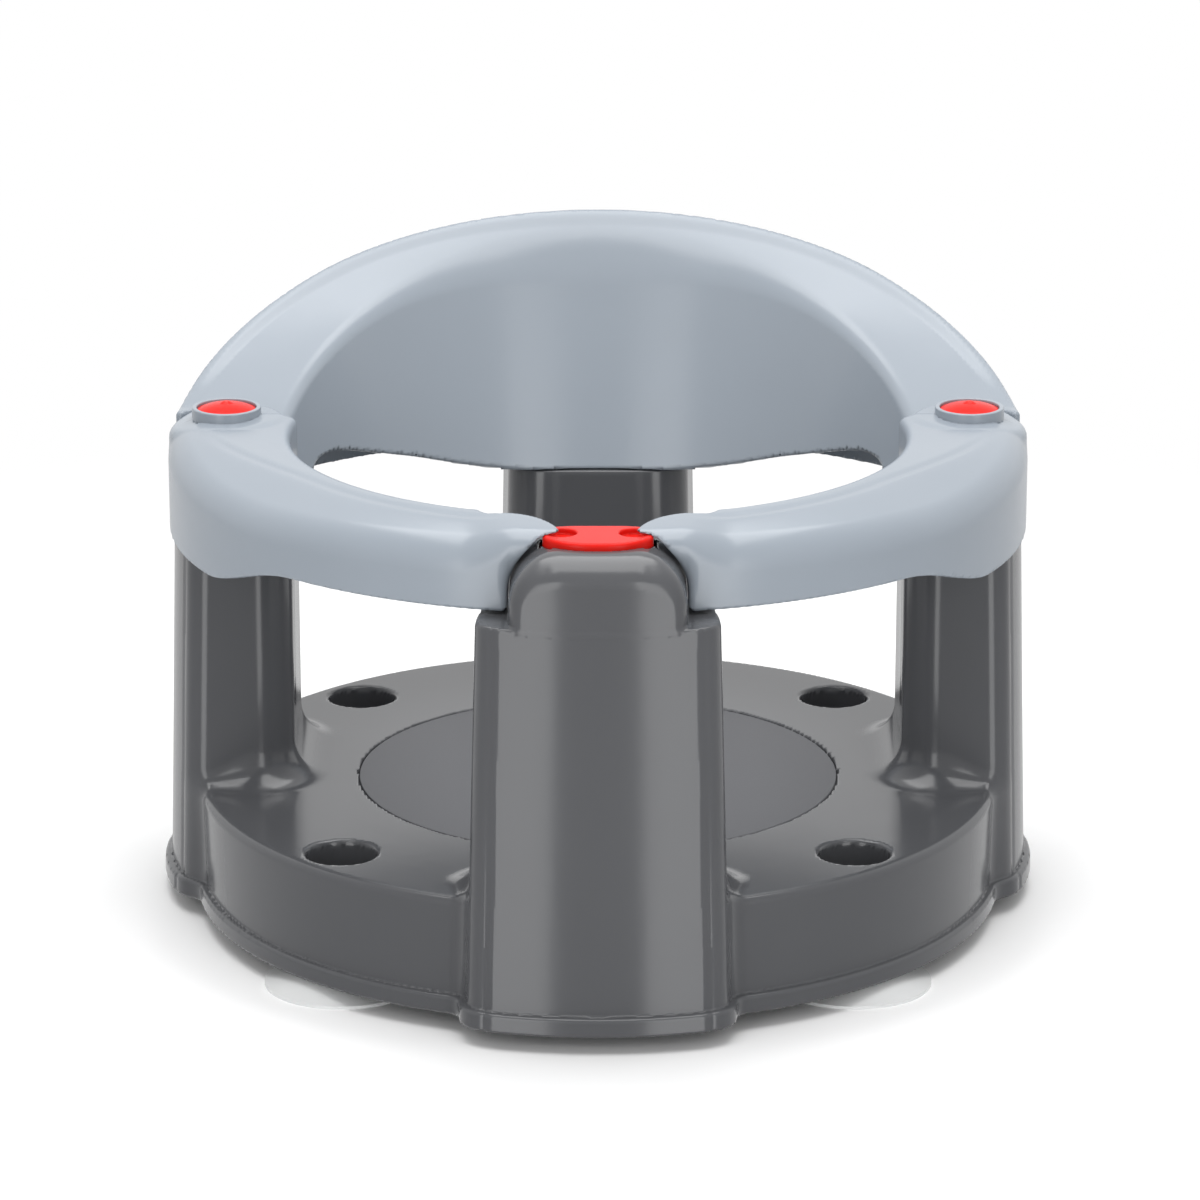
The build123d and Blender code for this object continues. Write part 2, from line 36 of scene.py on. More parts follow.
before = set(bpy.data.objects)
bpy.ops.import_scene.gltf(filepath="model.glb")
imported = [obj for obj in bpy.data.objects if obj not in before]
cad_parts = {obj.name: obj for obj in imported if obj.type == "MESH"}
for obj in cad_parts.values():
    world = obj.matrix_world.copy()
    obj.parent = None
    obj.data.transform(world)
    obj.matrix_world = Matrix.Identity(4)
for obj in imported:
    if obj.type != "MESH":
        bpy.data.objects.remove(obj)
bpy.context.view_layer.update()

MM = 0.001


# Sizes and colours that a user would change


class BathSeatShellSizes(bpy.types.PropertyGroup):
    """Sizes of the moulded shells, in millimetres unless a unit says otherwise."""

    cell: bpy.props.FloatProperty(
        name="Skin cell", description="Size of the mesh cells of the shells", default=1.5, min=0.8, max=4.0)
    wall: bpy.props.FloatProperty(
        name="Wall", description="Wall thickness of the shells", default=3.4)
    deck_flare: bpy.props.FloatProperty(
        name="Deck flare", description="Radius with which a post flows into the deck", default=15.0)
    skirt_flare: bpy.props.FloatProperty(
        name="Skirt flare", description="Radius with which a post flows into the skirt", default=8.0)
    well_round: bpy.props.FloatProperty(
        name="Well edge", description="Rounding of the edge of the deck wells", default=1.6)
    lip_height: bpy.props.FloatProperty(
        name="Backrest lip", description="Height of the lip along the rim of the backrest", default=1.4)
    bead_width: bpy.props.FloatProperty(
        name="Arm bead", description="Width of the level bead along the inner edge of an arm", default=7.0)


class BathSeatFinishes(bpy.types.PropertyGroup):
    """Colours and gloss of the plastics."""

    base_colour: bpy.props.FloatVectorProperty(
        name="Base plastic", description="Dark grey of the base", subtype="COLOR", size=3,
        default=(0.085, 0.087, 0.093), min=0, max=1)
    ring_colour: bpy.props.FloatVectorProperty(
        name="Ring plastic", description="Blue grey of the arms and the backrest", subtype="COLOR", size=3,
        default=(0.285, 0.32, 0.362), min=0, max=1)
    button_colour: bpy.props.FloatVectorProperty(
        name="Button plastic", description="Red of the latch plate and the buttons", subtype="COLOR", size=3,
        default=(0.68, 0.014, 0.009), min=0, max=1)
    pad_colour: bpy.props.FloatVectorProperty(
        name="Pad rubber", description="Grey of the matt pad in the deck", subtype="COLOR", size=3,
        default=(0.105, 0.107, 0.115), min=0, max=1)
    cup_colour: bpy.props.FloatVectorProperty(
        name="Cup rubber", description="Milky white of the suction cups", subtype="COLOR", size=3,
        default=(0.86, 0.87, 0.87), min=0, max=1)
    gloss: bpy.props.FloatProperty(
        name="Gloss roughness", description="Roughness of the polished plastic", subtype="FACTOR",
        default=0.17, min=0, max=1)


class BathSeatStudio(bpy.types.PropertyGroup):
    """Camera and lights."""

    focal_length: bpy.props.FloatProperty(
        name="Lens", description="Focal length of the camera in millimetres", default=164.58)
    camera_back: bpy.props.FloatProperty(
        name="Camera distance", description="How far the camera stands in front",
        default=2.1279, unit="LENGTH")
    camera_height: bpy.props.FloatProperty(
        name="Camera height", description="Height of the camera over the floor",
        default=0.7717, unit="LENGTH")
    camera_tilt: bpy.props.FloatProperty(
        name="Camera tilt", description="How far the camera looks down", default=0.29415, subtype="ANGLE")
    ambient: bpy.props.FloatProperty(
        name="Ambient", description="Strength of the light from the backdrop", default=1.0)


# Solid fields: each gives a signed distance in millimetres, negative inside the plastic


def join(a, b, fillet):
    """Both bodies as one, with a fillet where they meet."""
    u = np.maximum(fillet - a, 0.0)
    v = np.maximum(fillet - b, 0.0)
    return np.maximum(fillet, np.minimum(a, b)) - np.hypot(u, v)


def shared(a, b, edge):
    """What two bodies have in common, with its edge rounded."""
    return -join(-a, -b, edge)


def ease(value, low, high):
    """0 below low, 1 above high and a smooth change between."""
    t = np.clip((value - low) / (high - low), 0.0, 1.0)
    return t * t * (3.0 - 2.0 * t)


def smooth_line(x, points):
    """A smooth line through points with rising x, with no overshoot."""
    px = np.array([p[0] for p in points], float)
    py = np.array([p[1] for p in points], float)
    step = np.diff(px)
    slope = np.diff(py) / step
    tangent = np.zeros(len(px))
    same = slope[:-1] * slope[1:] > 0
    inner = np.zeros(len(slope) - 1)
    inner[same] = 2.0 * slope[:-1][same] * slope[1:][same] / (slope[:-1][same] + slope[1:][same])
    tangent[1:-1] = inner
    tangent[0], tangent[-1] = slope[0], slope[-1]
    x = np.clip(x, px[0], px[-1])
    i = np.clip(np.searchsorted(px, x) - 1, 0, len(step) - 1)
    t = (x - px[i]) / step[i]
    a = (1 + 2 * t) * (1 - t) ** 2 * py[i] + t * (1 - t) ** 2 * step[i] * tangent[i]
    b = t * t * (3 - 2 * t) * py[i + 1] + t * t * (t - 1) * step[i] * tangent[i + 1]
    return a + b


# Base: heights above the bath floor, radii and reaches from the middle of the deck
RIM_BOTTOM, RIM_TOP, RIM_STEP = 7.0, 14.5, 2.8
DECK_TOP, DECK_RADIUS, SKIRT_RADIUS = 54.0, 162.0, 161.0
FOOT, POST_INNER = 176.5, 123.5
POST_BOW, POST_LEAN, POST_DRAW_IN, PANEL_STEP = 7.0, 4.5, 5.0, 2.4
POST_INNER_ROUND, TOP_ROUND = 15.0, 0.8
RING_Y = 22.0
LEDGE, SIDE_TOP, REAR_TOP = 166.0, 154.0, 147.0
# Half widths of a post below and above, then those of its raised panel
FRONT_POST = (51.5, 47.3, 44.6, 41.4)
PLAIN_POST = (44.5, 41.6, 37.5, 34.6)
# Boss on the front post
BOSS_HALF, BOSS_TOP, BOSS_BACK, BOSS_SHOULDER = 33.5, 194.0, 124.0, 20.0
NOSE_SIDE_ROUND, NOSE_TOP_ROUND = 5.0, 14.0
# Wells and pad recess in the deck
LEFT_WELLS = ((-100.5, -99.5), (-100.5, 99.5))
WELL_RADIUS, WELL_FLOOR, WELL_WALL, CUP_HOLE = 14.0, 18.0, 2.4, 4.55
PAD_RADIUS, PAD_RECESS = 97.55, 1.8
# Latch plate, its pocket and its stem
LATCH_Y, LATCH_HALF_X, LATCH_HALF_Y = -144.5, 21.0, 13.0
LATCH_BOTTOM, LATCH_TOP, POCKET_FLOOR, POCKET_GAP = 190.65, 196.55, 185.0, 0.35
BITE_X, BITE_Y, BITE_RADIUS, BITE_FLOOR = 13.6, -141.6, 5.6, 194.3
STEM_RADIUS, STEM_BOTTOM, NECK_RADIUS = 3.0, 151.0, 8.2
# Pivots and arms
PIVOT_X, KNUCKLE = 150.5, 23.5
SPIGOT_RADIUS, SPIGOT_TOP, SCREW_HOLE, SLEEVE_BORE = 8.0, 174.7, 2.05, 9.95
RING_OUTER, ARM_TOP, ARM_SLOPE = 174.0, 198.5, 0.42
ARM_HOLLOW_TOP, TIP_LIFT = 176.0, 2.7
COLLAR_INNER, COLLAR_OUTER, COLLAR_TOP = 12.05, 14.0, 202.5
# Backrest: half axes of its outer wall and of the crease below its rim
BACK_OUTER, BACK_CREASE = (173.5, 157.2), (127.0, 142.0)


def bar_section(u, v, half, front, bow, corner, inner_corner):
    """Plan of a post: across it is u, outwards is v."""
    run = front - bow - POST_INNER
    side = np.abs(u) - half + POST_DRAW_IN * (front - bow - v) / run
    side = side / np.hypot(1.0, POST_DRAW_IN / run)
    bend = 2.0 * bow * u / half ** 2
    face = (v - front + bow * (u / half) ** 2) / np.sqrt(1.0 + bend ** 2)
    return shared(shared(side, face, corner), POST_INNER - v, inner_corner)


def post(u, v, z, widths, top):
    """A post with its raised outer panel."""
    half_low, half_high, panel_low, panel_high = widths
    rise = (z - RIM_BOTTOM) / (top - RIM_BOTTOM)
    front = FOOT - POST_LEAN * (z - RIM_BOTTOM) / (LEDGE - RIM_BOTTOM)
    half = half_low + (half_high - half_low) * rise
    panel = panel_low + (panel_high - panel_low) * rise
    wings = bar_section(u, v, half, front - PANEL_STEP, POST_BOW, 8.0, POST_INNER_ROUND)
    middle = bar_section(u, v, panel, front, POST_BOW, 4.5, POST_INNER_ROUND)
    return join(wings, middle, 0.9)


def post_tops(x, y, z):
    """The four posts, cut level at their tops."""
    ax = np.abs(x)
    front = shared(post(x, -y, z, FRONT_POST, LEDGE), z - LEDGE, TOP_ROUND)
    rear = shared(post(x, y, z, PLAIN_POST, REAR_TOP), z - REAR_TOP, TOP_ROUND)
    side = shared(post(y - RING_Y, ax, z, PLAIN_POST, SIDE_TOP), z - SIDE_TOP, TOP_ROUND)
    return np.minimum(np.minimum(front, rear), side)


def boss(x, y, z, grow=0.0, back=BOSS_BACK):
    """The arched boss on the front post, which carries the latch plate."""
    arch = shared(np.abs(x) - BOSS_HALF - grow, z - BOSS_TOP - grow, BOSS_SHOULDER + grow)
    panel_top = FRONT_POST[3]
    bend = 2.0 * POST_BOW * x / panel_top ** 2
    face = -y - (FOOT - POST_LEAN) - grow + POST_BOW * (x / panel_top) ** 2
    face = face / np.sqrt(1.0 + bend ** 2)
    crown = ease(z, 170.0, 190.0) * ease(-np.abs(x), -36.0, -18.0)
    nose = shared(arch, face, NOSE_SIDE_ROUND + (NOSE_TOP_ROUND - NOSE_SIDE_ROUND) * crown + grow)
    return shared(shared(nose, back + y - grow, 5.0), LEDGE - 2.0 - z, 0.5)


def base_body(x, y, z, shell):
    """Deck, skirt and posts as one closed lump."""
    radius = np.hypot(x, y)
    skirt = radius - SKIRT_RADIUS - (DECK_RADIUS - SKIRT_RADIUS) * (z - RIM_BOTTOM) / (DECK_TOP - RIM_BOTTOM)
    drum = shared(skirt, z - DECK_TOP, 3.0)
    flare = shell.skirt_flare + (shell.deck_flare - shell.skirt_flare) * ease(-radius, -160.0, -140.0)
    body = join(drum, post_tops(x, y, z), flare)
    return join(body, boss(x, y, z), 1.2)


def latch_plan(x, y, grow):
    """Lens-shaped plan of the latch plate, flatter behind, grown by a gap."""
    v = y - LATCH_Y
    by_x = np.where(v < 0, 2.4, 4.0)
    by_v = np.where(v < 0, 1.6, 4.0)
    across = np.maximum(np.abs(x) / LATCH_HALF_X, 1e-3)
    along = np.maximum(np.abs(v) / LATCH_HALF_Y, 1e-3)
    steep_x = by_x * across ** (by_x - 1.0) / LATCH_HALF_X
    steep = np.hypot(steep_x, by_v * along ** (by_v - 1.0) / LATCH_HALF_Y)
    return (across ** by_x + along ** by_v - 1.0) / np.maximum(steep, 0.02) - grow


def base_field(x, y, z, shell):
    """The whole base moulding."""
    body = base_body(x, y, z, shell)
    foot = shared(body - RIM_STEP, z - RIM_TOP, 1.6)
    outside = shared(np.minimum(body, foot), RIM_BOTTOM - z, 0.8)
    hollow = body + shell.wall
    pocket = latch_plan(x, y, POCKET_GAP)
    hollow = np.maximum(hollow, -np.maximum(pocket - shell.wall, POCKET_FLOOR - shell.wall - z))
    tub = np.maximum(outside, -hollow)
    for well_x, well_y in LEFT_WELLS:
        reach = np.hypot(x - well_x, y - well_y)
        cup = np.maximum(reach - WELL_RADIUS - WELL_WALL, WELL_FLOOR - WELL_WALL - z)
        tub = np.minimum(tub, np.maximum(cup, z - DECK_TOP + 1.0))
        tub = shared(tub, -np.maximum(reach - WELL_RADIUS, WELL_FLOOR - z), shell.well_round)
        tub = np.maximum(tub, -np.maximum(reach - CUP_HOLE, z - 30.0))
    disc = np.hypot(x, y) - PAD_RADIUS
    tub = np.maximum(tub, -np.maximum(disc, DECK_TOP - PAD_RECESS - z))
    tub = np.maximum(tub, -np.maximum(pocket, POCKET_FLOOR - z))
    neck = np.hypot(x, y - LATCH_Y) - NECK_RADIUS
    tub = np.maximum(tub, -np.maximum(neck, 175.0 - z))
    pivot = np.hypot(np.abs(x) - PIVOT_X, y - RING_Y)
    spigot = np.maximum(pivot - SPIGOT_RADIUS, SCREW_HOLE - pivot)
    return np.minimum(tub, np.maximum(spigot, np.maximum(z - SPIGOT_TOP, SIDE_TOP - 3.0 - z)))


def arm_end(x, y, z):
    """Distance out of the boss and its gap, which shapes the end of an arm."""
    return boss(x, y, z, 0.5, 100.0)


def arm_top(x, y, bead):
    """Height of the top of an arm: a level bead inside and a slope outside."""
    inner = np.hypot(x, y) - POST_INNER
    around = np.arctan2(-(y - RING_Y), -x)
    level = bead + 30.0 * ease(-around, -0.75, 0.1)
    fall = np.maximum(inner - level, 0.0)
    soft = 5.0
    run = np.sqrt(fall ** 2 + soft ** 2) - soft
    crease = 0.7 * np.exp(-((inner - level - 2.5) / 2.2) ** 2) * ease(around, 0.05, 0.35)
    end = ease(x, -52.0, -30.0)
    return ARM_TOP + 1.3 * end - ARM_SLOPE * (1.0 - 0.7 * end) * run - crease * (1.0 - end)


def arm_lump(x, y, z, inset, shell):
    """The left arm as a closed lump, moved in by a wall."""
    knuckle = np.hypot(x + PIVOT_X, y - RING_Y) - KNUCKLE + inset
    outer = np.hypot(x, y - RING_Y) - RING_OUTER + inset
    inner = POST_INNER + inset - np.hypot(x, y)
    stop = y - RING_Y
    top = (z - arm_top(x, y, shell.bead_width) + inset) * 0.93
    shoulder = shared(outer, top, 9.0)
    ridge = shared(shoulder, inner, 3.2)
    turn = np.hypot(np.maximum(x + 43.0, 0.0), np.maximum(y + 153.0, 0.0) * ease(x, -62.0, -40.0))
    arm = shared(ridge, np.maximum(stop, turn - 31.0 + inset), 2.6)
    cap = shared(knuckle, top, 3.0)
    lump = join(arm, cap, 0.8 + 3.2 * ease(x, -146.0, -134.0))
    floor = 155.2 + 12.1 * ease(-y, 58.0, 106.0)
    return shared(lump, floor + inset - z, 0.9)


def arm_field(x, y, z, shell):
    """The left arm with its web and sleeve, shaped round the boss and lifted over the latch plate."""
    lump = arm_lump(x, y, z, 0.0, shell)
    gap = arm_end(x, y, z) - TIP_LIFT * ease(x, -32.0, -21.0)
    lump = shared(lump, -gap, 3.0 + 4.0 * ease(z, 172.0, 188.0) - 5.6 * ease(x, -34.0, -25.0))
    hollow = arm_lump(x, y, z, shell.wall, shell)
    hollow = np.maximum(hollow, shell.wall - gap)
    under = arm_lump(x, y, np.maximum(z, 175.0), shell.wall, shell)
    hollow = np.minimum(hollow, np.maximum(under, z - ARM_HOLLOW_TOP))
    arm = np.maximum(lump, -np.maximum(hollow, shell.wall - gap))
    pivot = np.hypot(x + PIVOT_X, y - RING_Y)
    arm = np.maximum(arm, -np.maximum(pivot - 13.2, 192.0 - z))
    web = np.maximum(np.maximum(pivot - 21.5, SLEEVE_BORE - pivot), np.abs(z - 164.2) - 1.2)
    sleeve = np.maximum(np.maximum(pivot - 12.4, SLEEVE_BORE - pivot), np.abs(z - 164.35) - 10.0)
    return np.minimum(arm, np.minimum(web, sleeve))


BACK_ARCH = [
    (42.0, 160.0), (44.0, 165.5), (48.0, 168.6), (56.0, 170.3), (63.0, 170.0), (69.0, 168.8),
    (79.5, 166.2), (92.0, 162.3), (104.6, 157.8), (111.5, 154.4), (116.8, 151.4), (119.5, 150.0),
    (124.0, 147.4), (126.0, 147.3),
]
RIM_LINE = [
    (20.0, 197.5), (42.0, 197.5), (54.0, 199.6), (70.0, 204.2), (95.0, 213.6), (120.0, 224.2),
    (146.0, 236.0), (170.0, 245.8), (179.2, 249.4),
]


def rim_height(x, y, shell):
    """Height of the rolled top of the backrest, and the distance into its outer wall."""
    yc = y - RING_Y
    reach = np.hypot(x, yc)
    outer = (reach - reach / np.maximum(np.hypot(x / BACK_OUTER[0], yc / BACK_OUTER[1]), 0.01)) * 0.98
    step_in = reach - reach / np.maximum(np.hypot(x / BACK_CREASE[0], yc / BACK_CREASE[1]), 0.01)
    q = np.clip(step_in / np.maximum(step_in - outer, 1.0), -4.0, 1.0)
    crease = 186.0 + 0.343 * yc
    lip = shell.lip_height * ease(outer, -8.0, -3.5) * ease(y, 40.0, 80.0)
    roll = np.where(q > 0, q * (2.0 - q), 2.0 * q)
    top = crease + (smooth_line(y, RIM_LINE) - shell.lip_height - crease) * roll + lip
    return top, outer


def back_field(x, y, z, shell):
    """The backrest as a lump, and the lump inside its walls, before its horns are trimmed."""
    top_z, outer = rim_height(x, y, shell)
    slope_x = (rim_height(x + 0.2, y, shell)[0] - top_z) / 0.2
    slope_y = (rim_height(x, y + 0.2, shell)[0] - top_z) / 0.2
    top = (z - top_z) / np.sqrt(1.0 + slope_x ** 2 + slope_y ** 2)
    radius = np.hypot(x, y)
    lean = 0.08 + 0.36 * np.clip(y / np.maximum(radius, 1.0), 0.0, 1.0)
    wall_at = POST_INNER + lean * np.maximum(z - 143.0, 0.0)
    inner = (wall_at - radius) / np.hypot(1.0, lean)
    lump = shared(outer, shared(inner, top, 4.0), 2.2)
    return lump, lump + shell.wall


def back_trim(x, y, z, grow):
    """What is cut from the backrest: below its arch, in front of its horns and round the knuckles."""
    ax = np.abs(x)
    radius = np.hypot(ax, y)
    low_inner = smooth_line(y, BACK_ARCH)
    low_outer = smooth_line(y - 22.5 * np.clip((124.0 - y) / 124.0, 0.0, 1.0), BACK_ARCH)
    mix = ease(radius, 127.0, 133.0)
    low = low_inner + (low_outer - low_inner) * mix
    arch = (154.3 + (low - 154.3) * ease(y, 37.0, 47.0) + grow - z) * 0.8
    horns = 30.0 + 7.5 * ease(ax, 150.0, 151.0) + grow - y
    knuckle = KNUCKLE + 0.6 + grow - np.hypot(ax - PIVOT_X, y - RING_Y)
    return arch, np.maximum(horns, knuckle)


def backrest_shape(x, y, z, shell):
    """The whole backrest moulding."""
    solid, inside = back_field(x, y, z, shell)
    arch, front = back_trim(x, y, z, 0.0)
    outside = shared(shared(solid, arch, 1.2), front, 1.0)
    hollow = np.maximum(inside, back_trim(x, y, z, shell.wall)[1])
    return np.maximum(outside, -hollow)


def latch_field(x, y, z):
    """The latch plate: lens-shaped in front, with a sunk bite for each arm tip, on its stem."""
    plate = shared(shared(latch_plan(x, y, 0.0), z - LATCH_TOP, 1.3), LATCH_BOTTOM - z, 0.4)
    bite = np.hypot(np.abs(x) - BITE_X, y - BITE_Y) - BITE_RADIUS
    plate = shared(plate, -np.maximum(bite, BITE_FLOOR - z), 0.5)
    stem = np.hypot(x, y - LATCH_Y) - STEM_RADIUS
    return np.minimum(plate, np.maximum(stem, np.maximum(STEM_BOTTOM - z, z - 192.0)))


# Skins: meshes on the zero surface of a field


def field_grid(field, low, high, cell, mirrored):
    """Values of the field on a grid; a mirrored one is worked out for half of the grid."""
    axes = []
    for lowest, highest in zip(low, high):
        start = math.floor(lowest / cell - 2) * cell
        axes.append(start + cell * np.arange(int((highest - start) / cell) + 3))
    if mirrored:
        half = axes[0][axes[0] <= 1e-6]
        axes[0] = half
    values = np.empty([len(a) for a in axes], np.float32)
    for i in range(0, len(axes[0]), 16):
        x, y, z = np.meshgrid(axes[0][i:i + 16], axes[1], axes[2], indexing="ij", sparse=True)
        values[i:i + 16] = field(x, y, z)
    if mirrored:
        values = np.concatenate([values, values[-2::-1]])
        axes[0] = np.concatenate([axes[0], -axes[0][-2::-1]])
    return values, axes


def slope_of(field, points, reach=0.04):
    """Gradient of the field at points."""
    gradient = np.empty_like(points)
    for axis in range(3):
        offset = np.zeros(3)
        offset[axis] = reach
        ahead = field(*(points + offset).T)
        behind = field(*(points - offset).T)
        gradient[:, axis] = (ahead - behind) / (2 * reach)
    return gradient


def net_of(values):
    """Active cells of the grid and the quads that join them, facing out of the plastic."""
    inside = values < 0
    shape = [n - 1 for n in values.shape]
    count = np.zeros(shape, np.uint8)
    for i in (0, 1):
        for j in (0, 1):
            for k in (0, 1):
                count += inside[i:i + shape[0], j:j + shape[1], k:k + shape[2]]
    active = (count > 0) & (count < 8)
    number = np.full(shape, -1, np.int64)
    number[active] = np.arange(int(active.sum()))
    quads = []
    for axis in range(3):
        a, b = [i for i in range(3) if i != axis]
        lower = [slice(None)] * 3
        upper = [slice(None)] * 3
        lower[axis], upper[axis] = slice(0, -1), slice(1, None)
        crossing = inside[tuple(lower)] != inside[tuple(upper)]
        out = inside[tuple(lower)]
        cut = [slice(None)] * 3
        cut[a], cut[b] = slice(1, -1), slice(1, -1)
        where = np.argwhere(crossing[tuple(cut)])
        where[:, a] += 1
        where[:, b] += 1
        corners = []
        for da, db in ((-1, -1), (0, -1), (0, 0), (-1, 0)):
            at = where.copy()
            at[:, a] += da
            at[:, b] += db
            corners.append(number[at[:, 0], at[:, 1], at[:, 2]])
        quad = np.stack(corners, 1)
        turn = out[where[:, 0], where[:, 1], where[:, 2]]
        if axis == 1:
            turn = ~turn
        quad[~turn] = quad[~turn][:, ::-1]
        quads.append(quad)
    return np.argwhere(active), np.concatenate(quads)


def skin(name, field, low, high, cell, mirrored=False, extra=()):
    """A smooth mesh object of the surface of a field, with ready-made rings added."""
    values, axes = field_grid(field, low, high, cell, mirrored)
    cells, quads = net_of(values)
    points = np.stack([axes[i][cells[:, i]] + cell / 2 for i in range(3)], 1)
    start = points.copy()
    for _ in range(6):
        value = field(*points.T)
        gradient = slope_of(field, points)
        size = np.maximum((gradient ** 2).sum(1), 0.05)
        move = -(value / size)[:, None] * gradient
        length = np.maximum(np.linalg.norm(move, axis=1, keepdims=True), 1e-9)
        points += move * np.minimum(1.0, 0.5 * cell / length)
        points = start + np.clip(points - start, -cell, cell)
    gradient = slope_of(field, points)
    normals = gradient / np.maximum(np.linalg.norm(gradient, axis=1, keepdims=True), 1e-9)
    for ring_points, ring_quads, ring_normals in extra:
        quads = np.concatenate([quads, ring_quads + len(points)])
        points = np.concatenate([points, ring_points])
        normals = np.concatenate([normals, ring_normals])
    return mesh_object(name, points * MM, quads, normals)


def turned_ring(centre, profile, segments=96):
    """Points, faces and normals of a ring turned about an upright axis, from its closed outline."""
    outline = np.array(profile, float)
    ahead = np.roll(outline, -1, 0) - np.roll(outline, 1, 0)
    facing = np.stack([ahead[:, 1], -ahead[:, 0]], 1) / np.linalg.norm(ahead, axis=1)[:, None]
    angle = np.linspace(0, 2 * math.pi, segments, endpoint=False)[:, None]
    across, up = np.cos(angle), np.sin(angle)
    level = np.ones_like(angle)
    ring_x, ring_y = centre[0] + across * outline[:, 0], centre[1] + up * outline[:, 0]
    points = np.stack([ring_x, ring_y, level * outline[:, 1]], 2)
    normals = np.stack([across * facing[:, 0], up * facing[:, 0], level * facing[:, 1]], 2)
    count = len(outline)
    i = np.arange(segments)[:, None]
    j = np.arange(count)[None, :]
    i2, j2 = (i + 1) % segments, (j + 1) % count
    quads = np.stack([i * count + j, i2 * count + j, i2 * count + j2, i * count + j2], 2)
    return points.reshape(-1, 3), quads.reshape(-1, 4), normals.reshape(-1, 3)


def rounded_outline(corners, round_by, steps=4):
    """A closed outline with each of its corners rounded."""
    outline = []
    corners = [np.array(c, float) for c in corners]
    for before, corner, after in zip(corners[-1:] + corners[:-1], corners, corners[1:] + corners[:1]):
        start = corner + (before - corner) / np.linalg.norm(before - corner) * round_by
        end = corner + (after - corner) / np.linalg.norm(after - corner) * round_by
        for t in np.linspace(0, 1, steps + 1):
            outline.append((1 - t) ** 2 * start + 2 * t * (1 - t) * corner + t * t * end)
    return outline


def mesh_object(name, points, quads, normals=None):
    """A mesh object from arrays of points and four-cornered faces."""
    mesh = bpy.data.meshes.new(name)
    mesh.vertices.add(len(points))
    mesh.vertices.foreach_set("co", points.astype(np.float32).ravel())
    mesh.loops.add(quads.size)
    mesh.loops.foreach_set("vertex_index", quads.astype(np.int32).ravel())
    mesh.polygons.add(len(quads))
    mesh.polygons.foreach_set("loop_start", np.arange(0, quads.size, 4, dtype=np.int32))
    mesh.update(calc_edges=True)
    mesh.validate()
    mesh.shade_smooth()
    if normals is not None:
        mesh.normals_split_custom_set_from_vertices(normals)
    piece = bpy.data.objects.new(name, mesh)
    bpy.context.scene.collection.objects.link(piece)
    return piece


# Finishes


class Wire:
    """A number that runs through a finish, and takes part in sums."""

    def __init__(self, finish, socket):
        self.finish = finish
        self.socket = socket

    def sum_with(self, other, operation, swapped=False):
        pair = [other, self] if swapped else [self, other]
        return self.finish.node("ShaderNodeMath", {"operation": operation}, {0: pair[0], 1: pair[1]})

    def __add__(self, other):
        return self.sum_with(other, "ADD")

    __radd__ = __add__

    def __mul__(self, other):
        return self.sum_with(other, "MULTIPLY")

    __rmul__ = __mul__

    def __sub__(self, other):
        return self.sum_with(other, "SUBTRACT")

    def __rsub__(self, other):
        return self.sum_with(other, "SUBTRACT", True)


class Finish:
    """A material or a sky that is being wired up."""

    def __init__(self, tree):
        self.tree = tree

    def node(self, kind, settings=None, inputs=None, output=0):
        made = self.tree.nodes.new(kind)
        for key, value in (settings or {}).items():
            if key == "stops":
                ramp = made.color_ramp.elements
                while len(ramp) < len(value):
                    ramp.new(0.5)
                for stop, (place, colour) in zip(ramp, value):
                    stop.position = place
                    stop.color = colour
            else:
                setattr(made, key, value)
        for key, value in (inputs or {}).items():
            if isinstance(value, Wire):
                self.tree.links.new(value.socket, made.inputs[key])
            else:
                made.inputs[key].default_value = value
        return Wire(self, made.outputs[output]) if made.outputs else None

    def noise(self, scale, detail=2.0, stretch=(1.0, 1.0, 1.0)):
        place = self.node("ShaderNodeTexCoord", output="Object")
        place = self.node("ShaderNodeMapping", {}, {"Vector": place, "Scale": stretch})
        return self.node("ShaderNodeTexNoise", {}, {"Vector": place, "Scale": scale, "Detail": detail})

    def tint(self, mask, low, high):
        return self.node("ShaderNodeMix", {"data_type": "RGBA"},
                         {"Factor": mask, 6: (*low, 1.0), 7: (*high, 1.0)}, output=2)


def new_finish(name):
    """An empty material and its finish."""
    material = bpy.data.materials.new(name)
    material.use_nodes = True
    material.node_tree.nodes.clear()
    return material, Finish(material.node_tree)


def shade(colour, factor):
    """A colour made lighter or darker."""
    return tuple(min(1.0, c * factor) for c in colour)


def moulded_plastic(name, colour, gloss, peel=0.02, drift=0.04, shine=0.5):
    """Polished moulded plastic: slight drift of tone, orange peel and faint handling marks."""
    material, finish = new_finish(name)
    cloud = finish.noise(14.0, 3.0)
    tone = finish.tint(cloud, shade(colour, 1.0 - drift), shade(colour, 1.0 + drift))
    smear = finish.noise(55.0, 4.0, (1.0, 1.0, 0.35))
    rough = smear * 0.07 + (gloss - 0.035)
    waves = finish.noise(170.0, 1.0)
    grain = finish.noise(1900.0, 2.0)
    height = waves + grain * 0.05
    bump = finish.node("ShaderNodeBump", {}, {"Strength": peel, "Distance": 0.001, "Height": height})
    surface = finish.node("ShaderNodeBsdfPrincipled", {}, {
        "Base Color": tone, "Roughness": rough, "Normal": bump, "IOR": 1.5, "Specular IOR Level": shine})
    finish.node("ShaderNodeOutputMaterial", {}, {"Surface": surface})
    return material


